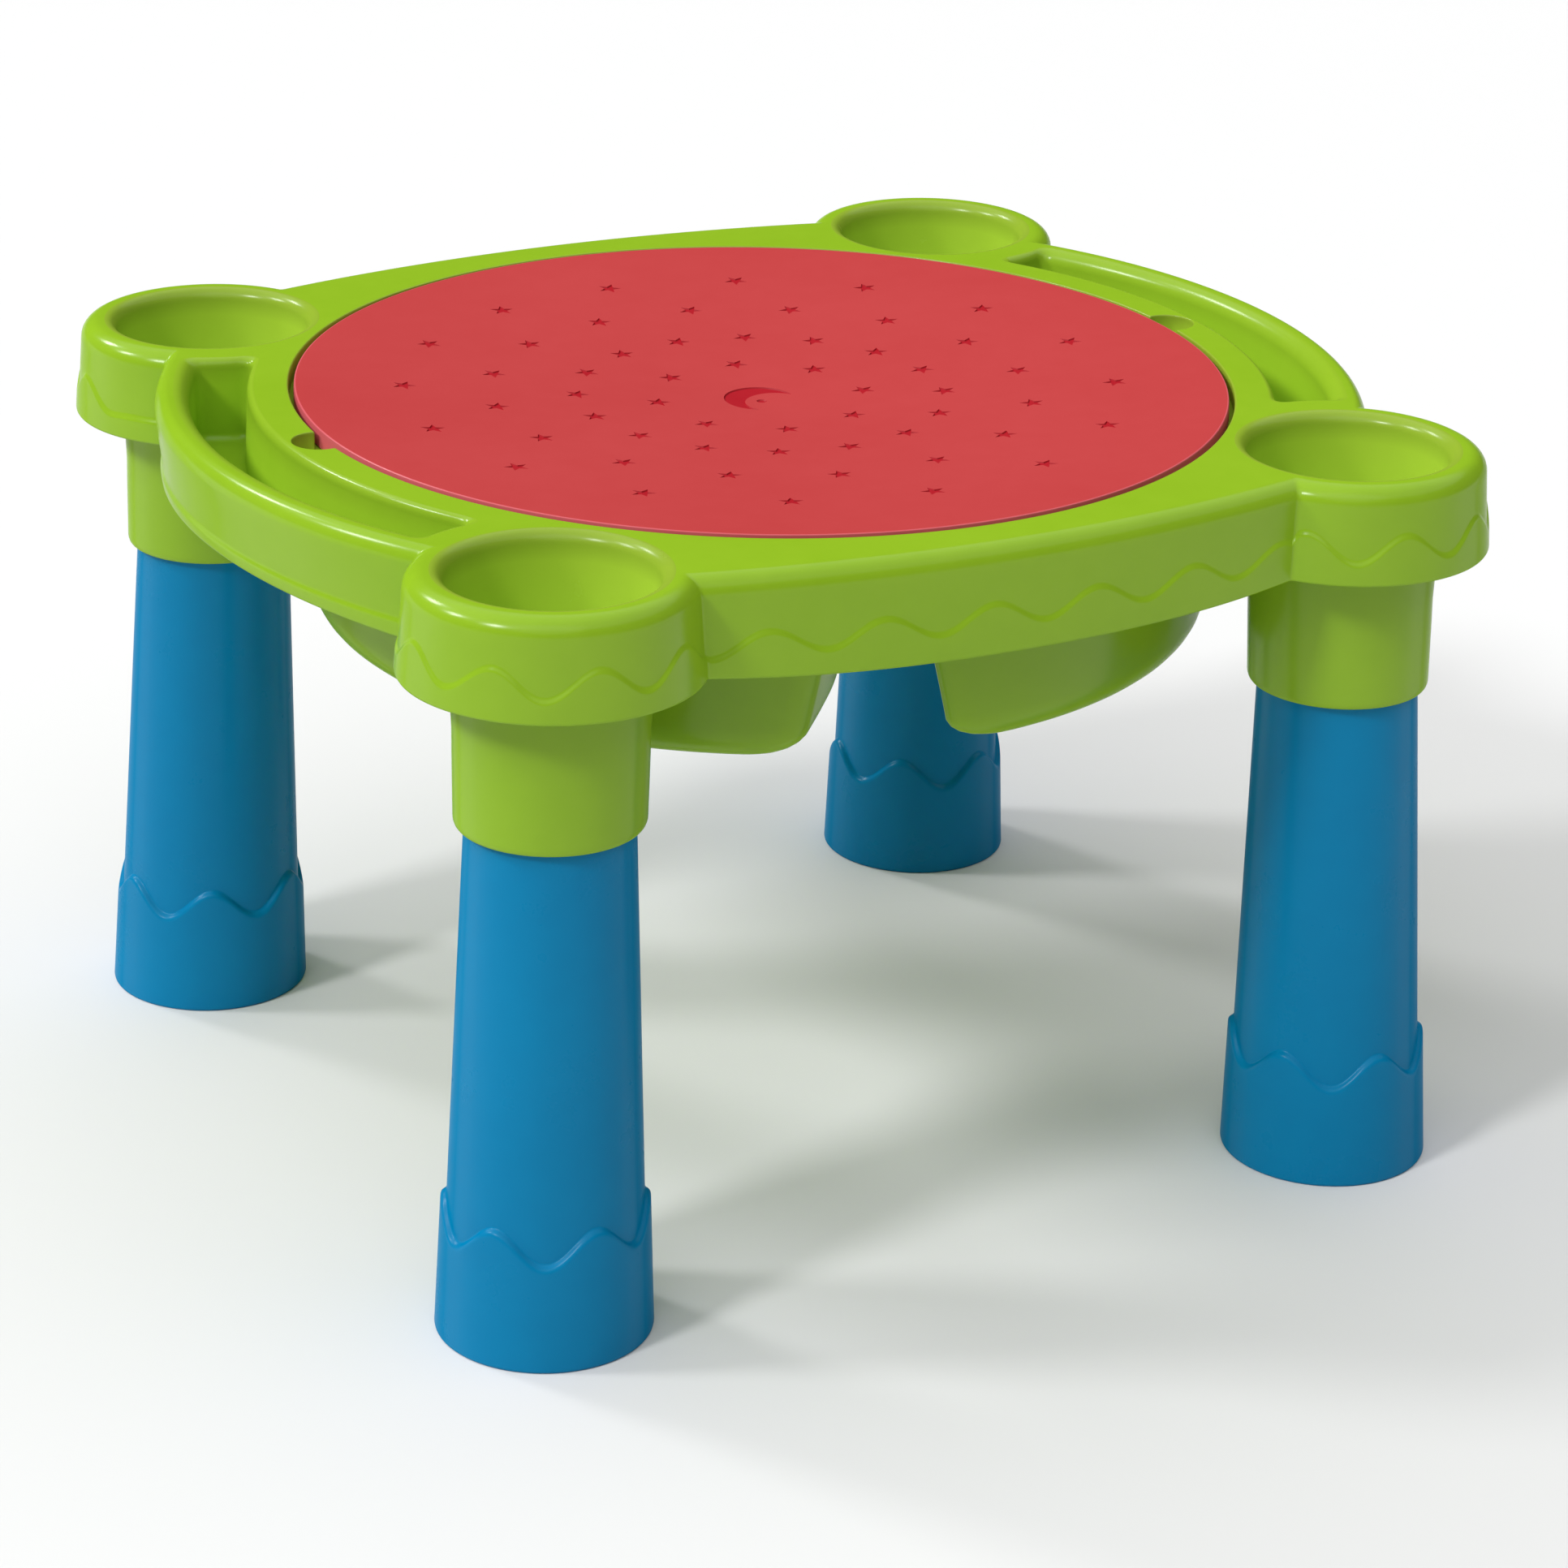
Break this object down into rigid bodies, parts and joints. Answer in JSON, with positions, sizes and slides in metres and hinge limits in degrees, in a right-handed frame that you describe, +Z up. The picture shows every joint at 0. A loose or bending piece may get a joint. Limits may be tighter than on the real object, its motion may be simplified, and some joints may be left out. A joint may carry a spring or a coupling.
{
  "type": "sand and water table",
  "caption": "Low round-cornered play table with a lift-off round cover over two sunken basins, side troughs, corner cups and push-in legs.",
  "frame": {"origin": "on the floor, under the middle of the table", "axes": "+X to the right-hand trough side (longest), +Y to the back plain side, +Z up"},
  "size_m": [0.711, 0.6562, 0.442],
  "materials": {
    "green_plastic": "satin moulded polypropylene, apple green",
    "red_plastic": "satin moulded polypropylene, soft red",
    "blue_plastic": "satin moulded polypropylene, blue"
  },
  "bodies": {
    "table_top": {"deck_front": "green_plastic", "deck_back": "green_plastic", "deck_right": "green_plastic", "deck_left": "green_plastic", "deck_front_left": "green_plastic", "deck_front_right": "green_plastic", "deck_back_left": "green_plastic", "deck_back_right": "green_plastic", "apron": "green_plastic", "lid_seat": "green_plastic", "basin_right": "green_plastic", "basin_left": "green_plastic", "trough_right": "green_plastic", "trough_left": "green_plastic", "cup_front_left": "green_plastic", "cup_front_right": "green_plastic", "cup_back_left": "green_plastic", "cup_back_right": "green_plastic"},
    "lid": {"lid": "red_plastic"},
    "leg_front_left": {"leg_front_left": "blue_plastic"},
    "leg_front_right": {"leg_front_right": "blue_plastic"},
    "leg_back_left": {"leg_back_left": "blue_plastic"},
    "leg_back_right": {"leg_back_right": "blue_plastic"}
  },
  "joints": [
    {"name": "lid_lift", "type": "slide", "parent": "table_top", "child": "lid", "axis": [0, 0, 1], "range_m": [0, 0.2]},
    {"name": "leg_front_left_pull", "type": "slide", "parent": "table_top", "child": "leg_front_left", "axis": [-0.0224, -0.0273, -0.9994], "range_m": [0, 0.08]},
    {"name": "leg_front_right_pull", "type": "slide", "parent": "table_top", "child": "leg_front_right", "axis": [0.0224, -0.0273, -0.9994], "range_m": [0, 0.08]},
    {"name": "leg_back_left_pull", "type": "slide", "parent": "table_top", "child": "leg_back_left", "axis": [-0.0224, 0.0273, -0.9994], "range_m": [0, 0.08]},
    {"name": "leg_back_right_pull", "type": "slide", "parent": "table_top", "child": "leg_back_right", "axis": [0.0224, 0.0273, -0.9994], "range_m": [0, 0.08]}
  ]
}
